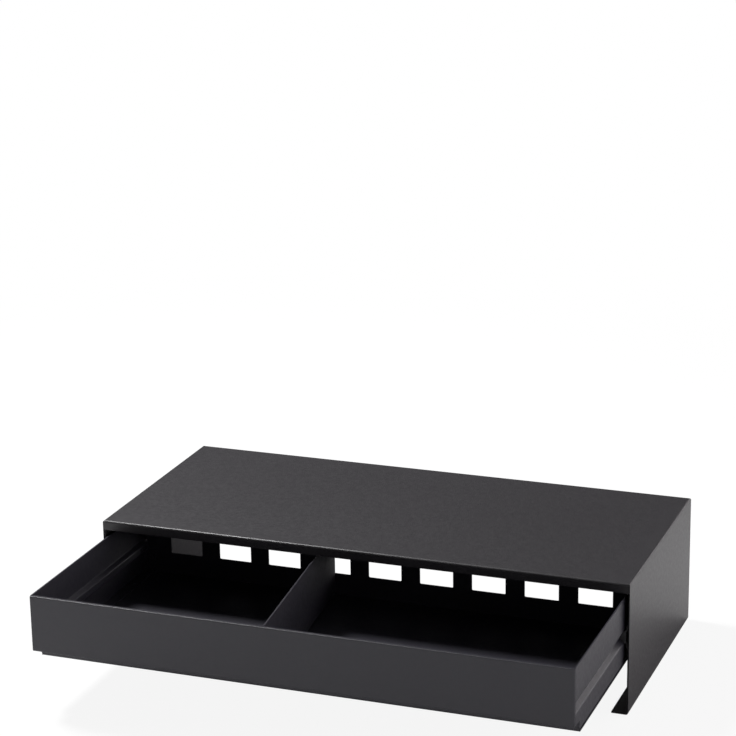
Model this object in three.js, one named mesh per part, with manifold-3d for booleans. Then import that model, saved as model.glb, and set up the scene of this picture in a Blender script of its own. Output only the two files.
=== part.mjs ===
// Monitor stand with a drawer: a folded steel casing that carries a screen, and a shallow steel
// drawer that runs below its top on two captured guide rails. The drawer stands drawn out.
// Millimetres, +Z up, +Y from the front to the back. The origin is on the desk, under the middle
// of the casing and its drawn-out drawer.

import * as THREE from 'three';
import { mergeVertices } from 'three/addons/utils/BufferGeometryUtils.js';
import Module from 'manifold-3d';

const wasm = await Module();
wasm.setup();

// Casing
const casingWidth = 500;
const casingDepth = 226;
const casingHeight = 122;
const casingSheet = 1.5;
const casingInsideBend = 0.5;
const flangeWidth = 15;
const lipHeight = 9;

// Foot pads
const padRadius = 5;
const padThickness = 1;
const padInset = 15;

// Drawer box: a tray with front and back walls, two sides and an outer front panel
const drawerSideGap = 3.5;
const drawerTopDrop = 14.5;
const drawerHeight = 62.2;
const drawerLength = 228;
const drawerSheet = 1.2;
const drawerInsideBend = 0.6;
const panelSheet = 1.5;
const panelCorner = 0.8;
const stepDepth = 16;
const stepHeight = 10.8;
const floorFlangeWidth = 12;
const endFlangeWidth = 13;
const endFlangeMargin = 1;

// Drawer travel: how far its front stands out when shut, and how far it is drawn out here
const shutReach = 3;
const drawnOut = 151;

// Guide groove pressed into each drawer side
const grooveBottom = 21.7;
const grooveHeight = 11;
const grooveDepth = 4;
const grooveFlankRise = 3;

// Guide rails and their plastic glides
const railSheet = 1;
const railFlange = 5;
const railRearInset = 4;
const railInsideBend = 0.2;
const glideSpace = 1.2;
const glideWall = 0.8;
const glideSeat = 0.1;
const glideLength = 32;
const glideCap = 1.2;
const glideEndInset = 0.5;
const glideBend = 0.1;
const pegRadius = 1.2;

// Row of cable slots in the drawer's back wall
const slotCount = 9;
const slotPitch = 50;
const slotWidth = 32;
const slotHeight = 20;
const slotBottom = 21.7;
const slotCorner = 1.2;

// Fasteners
const endFastenerInset = 8;
const studRadius = 2;
const studSpare = 0.8;
const nutAcross = 7;
const nutThickness = 3.2;
const rivetRadius = 1.6;
const rivetHeadRadius = 3;
const rivetHeadHeight = 0.9;
const rivetTailRadius = 2.4;
const rivetTailHeight = 1.4;
const rivetGap = 0.2;
const floorRivetInset = 7;
const floorRivetMargin = 40;
const floorRivetsPerSide = 3;

// Loose divider with a magnetic strip under its foot
const dividerX = -38.5;
const dividerAngle = THREE.MathUtils.degToRad(5.9);
const dividerSheet = 1.2;
const dividerFoot = 20;
const dividerEndGap = 1;
const magnetWidth = 14;
const magnetThickness = 1;
const magnetMargin = 8;

// Clearances and steps
const seatGap = 0.3;
const runningGap = 0.3;
const holeClearance = 0.3;
const cutOverrun = 5;
const bendSteps = 4;
const roundSegments = 20;

// Sizes that follow from those above
const wallX = casingWidth / 2 - casingSheet;
const drawerHalfWidth = wallX - drawerSideGap;
const casingFrontY = (drawnOut + shutReach - casingDepth) / 2;
const drawerFrontY = casingFrontY - shutReach - drawnOut;
const casingTopZ = padThickness + casingHeight;
const drawerBottomZ = casingTopZ - drawerTopDrop - drawerHeight;
const panelHeight = drawerHeight - stepHeight;
const trayFrontY = panelSheet + seatGap;
const sideBottomZ = drawerSheet + seatGap;
const sideFrontY = trayFrontY + drawerSheet + seatGap;
const sideRearY = drawerLength - drawerSheet - seatGap;
const grooveMiddle = grooveBottom + grooveHeight / 2;
const lowFlange = [stepHeight + drawerSheet + endFlangeMargin, grooveBottom - drawerSheet - endFlangeMargin];
const highFlange = [grooveBottom + grooveHeight + drawerSheet + endFlangeMargin,
  drawerHeight - endFlangeMargin];
const lowerFastenerHeight = (lowFlange[0] + lowFlange[1]) / 2;
const upperFastenerHeight = (highFlange[0] + highFlange[1]) / 2;
const railFaceX = wallX - seatGap - railSheet;
const glideFrontY = casingFrontY - shutReach + trayFrontY + drawerSheet + runningGap;
const nutFrontY = sideFrontY + drawerSheet + rivetGap;
const fastenerGrip = 2 * drawerSheet + seatGap;
const rearGlideY = sideRearY - glideEndInset - glideLength;
const endFastenerX = drawerHalfWidth - endFastenerInset;
const trayInnerFrontY = trayFrontY + drawerSheet;
const trayInnerRearY = drawerLength - drawerSheet;
const dividerBottomZ = drawerSheet + seatGap;
const dividerTop = drawerHeight - dividerBottomZ;
const dividerSpare = 2 * dividerEndGap + dividerSheet * Math.sin(dividerAngle);
const dividerLength = (trayInnerRearY - trayInnerFrontY - dividerSpare) / Math.cos(dividerAngle);
const dividerMiddleY = (trayInnerFrontY + trayInnerRearY - dividerSheet * Math.sin(dividerAngle)) / 2;
const dividerNotchTop = stepHeight + drawerSheet + dividerEndGap - dividerBottomZ;
const dividerNotchY = stepDepth + drawerSheet + dividerEndGap + dividerFoot * Math.sin(dividerAngle);
const dividerNotchEnd = (dividerNotchY - dividerMiddleY) / Math.cos(dividerAngle);
const sides = [{ name: 'left', sign: -1 }, { name: 'right', sign: 1 }];

// Materials
function finish(color, roughness, metalness) {
  return () => new THREE.MeshStandardMaterial({ color, roughness, metalness });
}
const powderCoat = finish(0x3c3b40, 0.55, 0.2);
const drawerCoat = finish(0x39383d, 0.55, 0.2);
const blackRubber = finish(0x1a1a1b, 0.9, 0);
const blackPlastic = finish(0x222224, 0.5, 0);
const zincSteel = finish(0xa9adb0, 0.4, 1);
const magnetRubber = finish(0x2a2725, 0.85, 0);

// Solids: three.js geometry is joined and cut as manifold solids, then turned back into geometry
function toSolid(geometry) {
  const bare = geometry.clone();
  bare.deleteAttribute('normal');
  bare.deleteAttribute('uv');
  const merged = mergeVertices(bare);
  return new wasm.Manifold(new wasm.Mesh({
    numProp: 3,
    vertProperties: new Float32Array(merged.attributes.position.array),
    triVerts: new Uint32Array(merged.index.array),
  }));
}

function toGeometry(solid) {
  const mesh = solid.getMesh();
  const geometry = new THREE.BufferGeometry();
  geometry.setAttribute('position', new THREE.BufferAttribute(new Float32Array(mesh.vertProperties), 3));
  geometry.setIndex(new THREE.BufferAttribute(new Uint32Array(mesh.triVerts), 1));
  geometry.computeVertexNormals();
  return geometry;
}

function join(geometries) {
  return toGeometry(geometries.map(toSolid).reduce((whole, piece) => whole.add(piece)));
}

function cut(geometry, tools) {
  return toGeometry(tools.map(toSolid).reduce((left, tool) => left.subtract(tool), toSolid(geometry)));
}

function keepWithin(geometry, envelopes) {
  return toGeometry(envelopes.map(toSolid).reduce((rest, tool) => rest.intersect(tool), toSolid(geometry)));
}

function named(name, geometry, material, position = [0, 0, 0]) {
  const mesh = new THREE.Mesh(geometry, material());
  mesh.name = name;
  mesh.position.set(...position);
  return mesh;
}

// A box between two corners
function block([x0, y0, z0], [x1, y1, z1]) {
  const geometry = new THREE.BoxGeometry(x1 - x0, y1 - y0, z1 - z0);
  geometry.translate((x0 + x1) / 2, (y0 + y1) / 2, (z0 + z1) / 2);
  return geometry;
}

// A round bar along one axis, from its start point
function bar(axis, radius, length, [x, y, z]) {
  const geometry = new THREE.CylinderGeometry(radius, radius, length, roundSegments);
  geometry.translate(0, length / 2, 0);
  if (axis === 'x') geometry.rotateZ(-Math.PI / 2);
  if (axis === 'z') geometry.rotateX(Math.PI / 2);
  geometry.translate(x, y, z);
  return geometry;
}

function extrude(outline, depth) {
  const points = outline.map(([u, v]) => new THREE.Vector2(u, v));
  return new THREE.ExtrudeGeometry(new THREE.Shape(points), { depth, bevelEnabled: false });
}

// An outline in X and Z, run along Y
function prismAlongY(outline, yStart, yEnd) {
  const geometry = extrude(outline, yEnd - yStart);
  geometry.rotateX(Math.PI / 2);
  geometry.translate(0, yEnd, 0);
  return geometry;
}

// An outline in Y and Z, run along X
function prismAlongX(outline, xStart, xEnd) {
  const geometry = extrude(outline, xEnd - xStart);
  geometry.applyMatrix4(new THREE.Matrix4().makeBasis(
    new THREE.Vector3(0, 1, 0), new THREE.Vector3(0, 0, 1), new THREE.Vector3(1, 0, 0)));
  geometry.translate(xStart, 0, 0);
  return geometry;
}

// Folded sheet: its outer face follows the corners, and the metal lies to the left of their path
function leftNormals(corners) {
  return corners.slice(1).map(([u, v], i) => {
    const along = [u - corners[i][0], v - corners[i][1]];
    const length = Math.hypot(...along);
    return [-along[1] / length, along[0] / length];
  });
}

function offsetPath(corners, distance) {
  const normals = leftNormals(corners);
  return corners.map(([u, v], i) => {
    const before = normals[Math.max(i - 1, 0)];
    const after = normals[Math.min(i, normals.length - 1)];
    const reach = distance / (1 + before[0] * after[0] + before[1] * after[1]);
    return [u + (before[0] + after[0]) * reach, v + (before[1] + after[1]) * reach];
  });
}

function roundedPath(corners, insideRadius, outsideRadius, metalSide) {
  const normals = leftNormals(corners);
  const path = [corners[0]];
  for (let i = 1; i < corners.length - 1; i += 1) {
    const before = normals[i - 1];
    const after = normals[i];
    const turn = Math.atan2(before[0] * after[1] - before[1] * after[0],
      before[0] * after[0] + before[1] * after[1]);
    const turnSide = Math.sign(turn);
    const radius = turnSide === metalSide ? outsideRadius : insideRadius;
    const reach = radius / Math.cos(turn / 2) * turnSide;
    const middle = Math.hypot(before[0] + after[0], before[1] + after[1]);
    const centre = [corners[i][0] + (before[0] + after[0]) / middle * reach,
      corners[i][1] + (before[1] + after[1]) / middle * reach];
    const start = Math.atan2(-before[1] * turnSide, -before[0] * turnSide);
    for (let step = 0; step <= bendSteps; step += 1) {
      const angle = start + turn * step / bendSteps;
      path.push([centre[0] + radius * Math.cos(angle), centre[1] + radius * Math.sin(angle)]);
    }
  }
  path.push(corners[corners.length - 1]);
  return path;
}

function foldedOutline(corners, thickness, insideBend) {
  const outsideBend = insideBend + thickness;
  const outerFace = roundedPath(corners, insideBend, outsideBend, 1);
  const innerFace = roundedPath(offsetPath(corners, thickness), insideBend, outsideBend, -1);
  return [...outerFace, ...innerFace.reverse()];
}

// The right-hand side's section, mirrored for the left with its metal still on the left of the path
function forSide(side, corners) {
  const placed = corners.map(([x, z]) => [side.sign * x, z]);
  return side.sign > 0 ? placed : placed.reverse();
}

function roundedRectangle(width, height, radius, [x, z]) {
  const shape = [];
  const centres = [[1, 1], [-1, 1], [-1, -1], [1, -1]];
  centres.forEach(([u, v], quarter) => {
    for (let step = 0; step <= bendSteps; step += 1) {
      const angle = (quarter + step / bendSteps) * Math.PI / 2;
      shape.push([x + u * (width / 2 - radius) + radius * Math.cos(angle),
        z + v * (height / 2 - radius) + radius * Math.sin(angle)]);
    }
  });
  return shape;
}

// Casing: top, side walls and bottom flanges from one folded sheet, with a lip down at front and back.
// The lips' ends are welded to the side walls, and the corners are ground round.
function casingShell() {
  const half = casingWidth / 2;
  const outsideBend = casingInsideBend + casingSheet;
  const corners = [
    [half - flangeWidth, 0], [half, 0], [half, casingHeight],
    [-half, casingHeight], [-half, 0], [-half + flangeWidth, 0],
  ];
  const shell = prismAlongY(foldedOutline(corners, casingSheet, casingInsideBend), 0, casingDepth);

  const lap = outsideBend + casingSheet;
  const lipBottomZ = casingHeight - lipHeight;
  const lipHalf = half - casingSheet / 2;
  const frontLip = prismAlongX(foldedOutline([
    [lap, casingHeight], [0, casingHeight], [0, lipBottomZ],
  ], casingSheet, casingInsideBend), -lipHalf, lipHalf);
  const rearLip = prismAlongX(foldedOutline([
    [casingDepth, lipBottomZ], [casingDepth, casingHeight], [casingDepth - lap, casingHeight],
  ], casingSheet, casingInsideBend), -lipHalf, lipHalf);

  const frontView = roundedPath(corners, casingInsideBend, outsideBend, 1);
  const sideView = roundedPath([
    [casingDepth, 0], [casingDepth, casingHeight], [0, casingHeight], [0, 0],
  ], casingInsideBend, outsideBend, 1);
  return keepWithin(join([shell, frontLip, rearLip]), [
    prismAlongY(frontView, 0, casingDepth), prismAlongX(sideView, -half, half),
  ]);
}

function footPad() {
  return bar('z', padRadius, padThickness, [0, 0, 0]);
}

// Section line that runs parallel to the guide groove, at a distance from its surface, from the
// lower end at reachX round the groove's floor to the upper end
function grooveLine(distance, reachX) {
  const floorX = drawerHalfWidth - grooveDepth + distance;
  const halfAngle = Math.atan2(grooveDepth, grooveFlankRise) / 2;
  const floorHalf = grooveHeight / 2 - grooveFlankRise - distance * Math.tan(halfAngle);
  const endHalf = floorHalf + (reachX - floorX) * grooveFlankRise / grooveDepth;
  return [[reachX, -endHalf], [floorX, -floorHalf], [floorX, floorHalf], [reachX, endHalf]];
}

// Guide rail: a hat section on the casing's wall, whose tongue runs in the drawer's groove
function guideRail(side) {
  const tongue = grooveLine(glideSpace, railFaceX);
  const flangeEnd = tongue[3][1] + railFlange;
  const corners = [[railFaceX, flangeEnd], ...tongue.reverse(), [railFaceX, -flangeEnd]];
  const railFront = glideCap + glideSeat;
  const railRear = casingFrontY + casingDepth - railRearInset - glideFrontY;
  return prismAlongY(foldedOutline(forSide(side, corners), railSheet, railInsideBend), railFront, railRear);
}

// Front glide: a capped plastic sleeve on the rail's front end, which carries the drawer
function frontGlide(side) {
  const line = grooveLine(glideSpace - glideSeat, railFaceX - glideSeat);
  const sleeveOutline = foldedOutline(forSide(side, line), glideWall, glideBend);
  const capOutline = forSide(side, grooveLine(glideSpace - glideSeat - glideWall, railFaceX - glideSeat));
  return join([prismAlongY(sleeveOutline, 0, glideLength), prismAlongY(capOutline, 0, glideCap)]);
}

// Rear glide: a plastic liner in the drawer's groove, pegged through its floor, which rides on the rail
function rearGlide(side) {
  const line = grooveLine(glideSeat, drawerHalfWidth - glideSeat).reverse();
  const liner = prismAlongY(foldedOutline(forSide(side, line), glideWall, glideBend), 0, glideLength);
  const pegRoot = drawerHalfWidth - grooveDepth + glideSeat + glideWall / 2;
  const pegLength = glideWall / 2 + glideSeat + drawerSheet + glideWall;
  const pegStart = side.sign > 0 ? pegRoot - pegLength : -pegRoot;
  return join([liner, bar('x', pegRadius, pegLength, [pegStart, glideLength / 2, 0])]);
}

// Drawer tray: one folded sheet from the front wall over the front step and floor to the back wall
function drawerTray() {
  const section = foldedOutline([
    [trayFrontY, drawerHeight], [trayFrontY, stepHeight], [stepDepth, stepHeight],
    [stepDepth, 0], [drawerLength, 0], [drawerLength, drawerHeight],
  ], drawerSheet, drawerInsideBend);
  const sheet = prismAlongX(section, -drawerHalfWidth, drawerHalfWidth);
  const insideHalf = drawerHalfWidth - drawerSheet - seatGap;
  const cuts = [...cableSlots()];
  for (const side of sides) {
    cuts.push(sideBlock(side, [insideHalf, trayFrontY + drawerSheet, drawerSheet],
      [drawerHalfWidth + cutOverrun, sideRearY + seatGap, drawerHeight + cutOverrun]));
    cuts.push(sideBlock(side, [drawerHalfWidth - grooveDepth, sideRearY, grooveBottom],
      [drawerHalfWidth + cutOverrun, drawerLength + cutOverrun, grooveBottom + grooveHeight]));
    for (const z of [lowerFastenerHeight, upperFastenerHeight]) {
      const x = side.sign * endFastenerX;
      cuts.push(bar('y', studRadius + holeClearance, 2 * cutOverrun, [x, trayFrontY - cutOverrun, z]));
      cuts.push(bar('y', rivetRadius + holeClearance, 2 * cutOverrun, [x, sideRearY - cutOverrun, z]));
    }
    for (const y of floorRivetPlaces()) {
      cuts.push(bar('z', rivetRadius + holeClearance, 2 * cutOverrun,
        [side.sign * (drawerHalfWidth - floorRivetInset), y, -cutOverrun]));
    }
  }
  return cut(sheet, cuts);
}

function sideBlock(side, [x0, y0, z0], [x1, y1, z1]) {
  return side.sign > 0 ? block([x0, y0, z0], [x1, y1, z1]) : block([-x1, y0, z0], [-x0, y1, z1]);
}

function cableSlots() {
  const slots = [];
  for (let i = 0; i < slotCount; i += 1) {
    const x = (i - (slotCount - 1) / 2) * slotPitch;
    const outline = roundedRectangle(slotWidth, slotHeight, slotCorner, [x, slotBottom + slotHeight / 2]);
    slots.push(prismAlongY(outline, sideRearY, drawerLength + cutOverrun));
  }
  return slots;
}

function floorRivetPlaces() {
  const span = drawerLength - 2 * floorRivetMargin;
  const places = [];
  for (let i = 0; i < floorRivetsPerSide; i += 1) {
    places.push(floorRivetMargin + span * i / (floorRivetsPerSide - 1));
  }
  return places;
}

// Drawer side: a wall with the pressed guide groove, a flange on the tray's floor and flanges at its
// ends. Its lower front corner is cut away at the tray's step.
function drawerSide(side) {
  const corners = [
    [drawerHalfWidth - floorFlangeWidth, sideBottomZ], [drawerHalfWidth, sideBottomZ],
    [drawerHalfWidth, grooveBottom], [drawerHalfWidth - grooveDepth, grooveBottom + grooveFlankRise],
    [drawerHalfWidth - grooveDepth, grooveBottom + grooveHeight - grooveFlankRise],
    [drawerHalfWidth, grooveBottom + grooveHeight], [drawerHalfWidth, drawerHeight],
  ];
  const wall = prismAlongY(foldedOutline(forSide(side, corners), drawerSheet, drawerInsideBend),
    sideFrontY, sideRearY);
  const cutInner = drawerHalfWidth - floorFlangeWidth - cutOverrun;
  const flangeFrontY = stepDepth + drawerSheet + drawerInsideBend + seatGap;
  const cornerCut = sideBlock(side, [cutInner, sideFrontY - cutOverrun, -cutOverrun],
    [drawerHalfWidth + cutOverrun, stepDepth, stepHeight]);
  const flangeCut = sideBlock(side, [cutInner, sideFrontY - cutOverrun, -cutOverrun],
    [drawerHalfWidth - drawerSheet, flangeFrontY, stepHeight]);
  const pieces = [cut(wall, [cornerCut, flangeCut])];
  const tools = [];
  const flangeInner = drawerHalfWidth - endFlangeWidth;
  const flangeRoot = drawerHalfWidth - drawerSheet / 2;
  for (const [low, high] of [lowFlange, highFlange]) {
    for (const y of [sideFrontY, sideRearY - drawerSheet]) {
      pieces.push(sideBlock(side, [flangeInner, y, low], [flangeRoot, y + drawerSheet, high]));
    }
  }
  for (const z of [lowerFastenerHeight, upperFastenerHeight]) {
    const x = side.sign * endFastenerX;
    tools.push(bar('y', studRadius + holeClearance, 2 * cutOverrun, [x, sideFrontY - cutOverrun, z]));
    tools.push(bar('y', rivetRadius + holeClearance, 2 * cutOverrun, [x, sideRearY - cutOverrun, z]));
  }
  for (const y of floorRivetPlaces()) {
    tools.push(bar('z', rivetRadius + holeClearance, 2 * cutOverrun,
      [side.sign * (drawerHalfWidth - floorRivetInset), y, -cutOverrun]));
  }
  const pegHoleX = side.sign * (drawerHalfWidth - grooveDepth) - cutOverrun;
  tools.push(bar('x', pegRadius + holeClearance, 2 * cutOverrun,
    [pegHoleX, rearGlideY + glideLength / 2, grooveMiddle]));
  return cut(join(pieces), tools);
}

// Outer front panel, with four studs that pass through the tray's front wall and the side flanges
function drawerFrontPanel() {
  const outline = roundedRectangle(2 * drawerHalfWidth, panelHeight, panelCorner, [0, panelHeight / 2]);
  const plate = prismAlongY(outline, 0, panelSheet);
  const studEnd = nutFrontY + nutThickness + studSpare;
  const studs = [];
  for (const side of sides) {
    for (const z of [lowerFastenerHeight, upperFastenerHeight]) {
      studs.push(bar('y', studRadius, studEnd - panelSheet / 2,
        [side.sign * endFastenerX, panelSheet / 2, z - stepHeight]));
    }
  }
  return join([plate, ...studs]);
}

function hexNut() {
  const outline = [];
  for (let i = 0; i < 6; i += 1) {
    const angle = i * Math.PI / 3;
    const radius = nutAcross / 2 / Math.cos(Math.PI / 6);
    outline.push([radius * Math.cos(angle), radius * Math.sin(angle)]);
  }
  const bore = bar('y', studRadius + holeClearance, nutThickness + 2 * cutOverrun, [0, -cutOverrun, 0]);
  return cut(prismAlongY(outline, 0, nutThickness), [bore]);
}

// Blind rivet along +Z: a domed head under the origin's plane, the shank through the sheets, and a tail
function rivet() {
  const headStart = -rivetGap;
  const tailStart = fastenerGrip + rivetGap;
  const dome = [];
  for (let step = 0; step <= bendSteps; step += 1) {
    const angle = step / bendSteps * Math.PI / 2;
    dome.push(new THREE.Vector2(rivetHeadRadius * Math.sin(angle),
      headStart - rivetHeadHeight * Math.cos(angle)));
  }
  const profile = [
    ...dome,
    new THREE.Vector2(rivetRadius, headStart),
    new THREE.Vector2(rivetRadius, tailStart),
    new THREE.Vector2(rivetTailRadius, tailStart),
    new THREE.Vector2(rivetTailRadius, tailStart + rivetTailHeight / 2),
    new THREE.Vector2(0, tailStart + rivetTailHeight),
  ];
  profile[0].x = 0;
  const geometry = new THREE.LatheGeometry(profile, roundSegments);
  geometry.rotateX(Math.PI / 2);
  return geometry;
}

// Divider: an upright sheet with a foot to its left, turned a little as it stands in the drawer. Its
// lower front corner is cut away to clear the tray's step. Its own Y runs along the sheet.
function divider() {
  const footZ = magnetThickness + rivetGap;
  const section = foldedOutline([
    [dividerSheet, dividerTop], [dividerSheet, footZ], [-dividerFoot, footZ],
  ].reverse(), dividerSheet, drawerInsideBend);
  const sheet = prismAlongY(section, -dividerLength / 2, dividerLength / 2);
  const notch = block([-dividerFoot - cutOverrun, -dividerLength / 2 - cutOverrun, -cutOverrun],
    [dividerSheet + cutOverrun, dividerNotchEnd, dividerNotchTop]);
  return cut(sheet, [notch]);
}

function dividerMagnet() {
  const middle = -dividerFoot / 2;
  return block([middle - magnetWidth / 2, dividerNotchEnd + magnetMargin, 0],
    [middle + magnetWidth / 2, dividerLength / 2 - magnetMargin, magnetThickness]);
}

// Assembly
function buildCasing() {
  const casing = new THREE.Group();
  casing.add(named('casing_shell', casingShell(), powderCoat, [0, casingFrontY, padThickness]));
  const padX = casingWidth / 2 - flangeWidth / 2;
  const rails = drawerBottomZ + grooveMiddle;
  for (const side of sides) {
    casing.add(named(`foot_pad_front_${side.name}`, footPad(), blackRubber,
      [side.sign * padX, casingFrontY + padInset, 0]));
    casing.add(named(`foot_pad_rear_${side.name}`, footPad(), blackRubber,
      [side.sign * padX, casingFrontY + casingDepth - padInset, 0]));
    casing.add(named(`guide_rail_${side.name}`, guideRail(side), powderCoat, [0, glideFrontY, rails]));
    casing.add(named(`front_glide_${side.name}`, frontGlide(side), blackPlastic, [0, glideFrontY, rails]));
  }
  return casing;
}

function buildDrawer() {
  const drawer = new THREE.Group();
  drawer.position.set(0, drawerFrontY, drawerBottomZ);
  drawer.add(named('drawer_tray', drawerTray(), drawerCoat));
  drawer.add(named('drawer_front_panel', drawerFrontPanel(), drawerCoat, [0, 0, stepHeight]));
  for (const side of sides) {
    drawer.add(named(`drawer_side_${side.name}`, drawerSide(side), drawerCoat));
    drawer.add(named(`rear_glide_${side.name}`, rearGlide(side), blackPlastic,
      [0, rearGlideY, grooveMiddle]));
    addEndFasteners(drawer, side);
    addFloorRivets(drawer, side);
  }
  return drawer;
}

function addEndFasteners(drawer, side) {
  const levels = [['lower', lowerFastenerHeight], ['upper', upperFastenerHeight]];
  for (const [level, z] of levels) {
    const x = side.sign * endFastenerX;
    drawer.add(named(`front_nut_${level}_${side.name}`, hexNut(), zincSteel, [x, nutFrontY, z]));
    const backRivet = named(`back_rivet_${level}_${side.name}`, rivet(), drawerCoat, [x, drawerLength, z]);
    backRivet.rotation.x = Math.PI / 2;
    drawer.add(backRivet);
  }
}

function addFloorRivets(drawer, side) {
  const x = side.sign * (drawerHalfWidth - floorRivetInset);
  floorRivetPlaces().forEach((y, i) => {
    const name = `floor_rivet_${i + 1}_${side.name}`;
    const floorRivet = named(name, rivet(), drawerCoat, [x, y, fastenerGrip]);
    floorRivet.rotation.x = Math.PI;
    drawer.add(floorRivet);
  });
}

function buildDivider() {
  const placed = new THREE.Group();
  placed.position.set(dividerX, drawerFrontY + dividerMiddleY, drawerBottomZ + dividerBottomZ);
  placed.rotation.z = dividerAngle;
  placed.add(named('divider', divider(), drawerCoat));
  placed.add(named('divider_magnet', dividerMagnet(), magnetRubber));
  return placed;
}

const stand = new THREE.Group();
stand.add(buildCasing(), buildDrawer(), buildDivider());

export default stand;
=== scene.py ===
"""Dresses a folded steel monitor stand with a drawer: folds, powder coat, rails and fasteners.

Every piece is modelled with Blender's own operators round the fixed frame, and takes its size and
place from it. All lengths are in metres in the frame's axes: +X to the right, +Y to the back.
"""

import math

import bmesh
import bpy
from mathutils import Matrix, Vector


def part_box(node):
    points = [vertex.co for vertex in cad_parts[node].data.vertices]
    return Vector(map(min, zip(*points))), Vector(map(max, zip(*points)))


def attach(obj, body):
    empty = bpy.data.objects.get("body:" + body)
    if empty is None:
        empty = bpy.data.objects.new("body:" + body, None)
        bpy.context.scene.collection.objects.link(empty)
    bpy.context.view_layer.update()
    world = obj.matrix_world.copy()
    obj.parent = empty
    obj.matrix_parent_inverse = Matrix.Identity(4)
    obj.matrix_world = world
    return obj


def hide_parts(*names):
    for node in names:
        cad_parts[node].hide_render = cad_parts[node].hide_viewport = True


bl_info = {
    "name": "Monitor stand with drawer",
    "version": (1, 0, 0),
    "blender": (4, 5, 0),
    "location": "3D Viewport > Sidebar > Stand",
    "description": "Models and finishes a folded steel monitor stand with a drawer",
    "category": "Object",
}

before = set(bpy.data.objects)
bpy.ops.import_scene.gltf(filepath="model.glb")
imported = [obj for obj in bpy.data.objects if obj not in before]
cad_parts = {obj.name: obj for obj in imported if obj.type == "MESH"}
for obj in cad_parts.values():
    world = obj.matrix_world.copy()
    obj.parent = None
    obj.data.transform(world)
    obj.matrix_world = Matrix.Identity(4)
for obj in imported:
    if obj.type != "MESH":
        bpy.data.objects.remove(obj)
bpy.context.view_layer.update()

X, Y, Z = range(3)
MM = 0.001
TOUCH = 0.002 * MM  # two places closer than this are one
SLIVER = 0.0005 * MM  # corners closer than this are merged
CLEAR = 0.02 * MM  # keeps a cutter off a face that it must not touch
OVERRUN = 5 * MM  # how far a cutter stands out of what it cuts
FOLD_STEPS = 8
EDGE_STEPS = 3
SIDES = (("left", -1), ("right", 1))

# Places that the frame gives
CASING_LOW, CASING_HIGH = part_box("casing_shell")
PANEL_LOW, PANEL_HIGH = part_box("drawer_front_panel")
TRAY_LOW, TRAY_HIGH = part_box("drawer_tray")
SIDE_LOW, SIDE_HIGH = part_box("drawer_side_right")
DIVIDER_LOW, DIVIDER_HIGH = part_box("divider")
CASING_HALF = CASING_HIGH.x
DRAWER_HALF = SIDE_HIGH.x
DRAWER_FRONT = PANEL_LOW.y
DRAWER_BOTTOM = TRAY_LOW.z
DRAWER_TOP = SIDE_HIGH.z


# Sizes and colours that a user would change

def number(name, description, default, **kind):
    return bpy.props.FloatProperty(name=name, description=description, default=default, **kind)


def length(name, description, default):
    return number(name, description, default, min=0, unit="LENGTH", precision=5)


def share(name, description, default):
    return number(name, description, default, min=0, max=1, subtype="FACTOR")


def colour(name, description, default):
    return bpy.props.FloatVectorProperty(
        name=name, description=description, default=default, size=3, min=0, max=1, subtype="COLOR")


class CasingSettings(bpy.types.PropertyGroup):
    """Sizes of the casing."""

    sheet: length("Sheet", "Thickness of the casing's sheet", 1.5 * MM)
    inside_bend: length("Inside bend", "Radius inside the casing's folds", 0.5 * MM)
    flange_width: length("Flange width", "Width of the flanges that the casing stands on", 15 * MM)
    lip_height: length("Lip height", "Height of the lips at the front and rear of the top", 9 * MM)
    edge_round: length("Edge rounding", "Rounding of the sheet's cut edges", 0.3 * MM)
    pad_round: length("Pad rounding", "Rounding of the foot pads' lower edge", 0.4 * MM)


class DrawerSettings(bpy.types.PropertyGroup):
    """Sizes of the drawer's sheets."""

    sheet: length("Sheet", "Thickness of the drawer's sheet", 1.2 * MM)
    inside_bend: length("Inside bend", "Radius inside the drawer's folds", 0.6 * MM)
    panel_sheet: length("Front panel", "Thickness of the outer front panel", 1.5 * MM)
    panel_corner: length("Panel corner", "Radius of the front panel's corners", 0.8 * MM)
    panel_edge: length("Panel edge", "Rounding of the front panel's outer edge", 0.7 * MM)
    step_depth: length("Step depth", "How far behind the front the tray steps down", 16 * MM)
    seat_gap: length("Seat gap", "Gap between two sheets that lie on each other", 0.3 * MM)
    floor_flange: length("Floor flange", "Width of the sides' flanges on the floor", 12 * MM)
    end_flange: length("End flange", "Width of the sides' flanges at their ends", 13 * MM)
    end_margin: length("Flange margin", "How far the end flanges stop short of folds", 1 * MM)
    groove_bottom: length("Groove bottom", "Height of the groove over the underside", 21.7 * MM)
    groove_height: length("Groove height", "Height of the guide groove at its mouth", 11 * MM)
    groove_depth: length("Groove depth", "Depth of the guide groove", 4 * MM)
    groove_rise: length("Groove flank", "Height of each sloping flank of the groove", 3 * MM)
    hole_radius: length("Hole radius", "Radius of the rivet holes", 1.9 * MM)
    stud_radius: length("Stud radius", "Radius of the front panel's studs", 2 * MM)
    edge_round: length("Edge rounding", "Rounding of the sheets' cut edges", 0.25 * MM)


class SlotSettings(bpy.types.PropertyGroup):
    """The row of slots in the drawer's back wall."""

    count: bpy.props.IntProperty(
        name="Slots", description="Number of slots", default=9, min=1)
    pitch: length("Pitch", "Distance from one slot to the next", 50 * MM)
    width: length("Width", "Width of a slot", 32 * MM)
    height: length("Height", "Height of a slot", 20 * MM)
    bottom: length("Bottom", "Height of the slots over the drawer's underside", 21.7 * MM)
    corner: length("Corner", "Radius of a slot's corners", 1.2 * MM)


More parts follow.
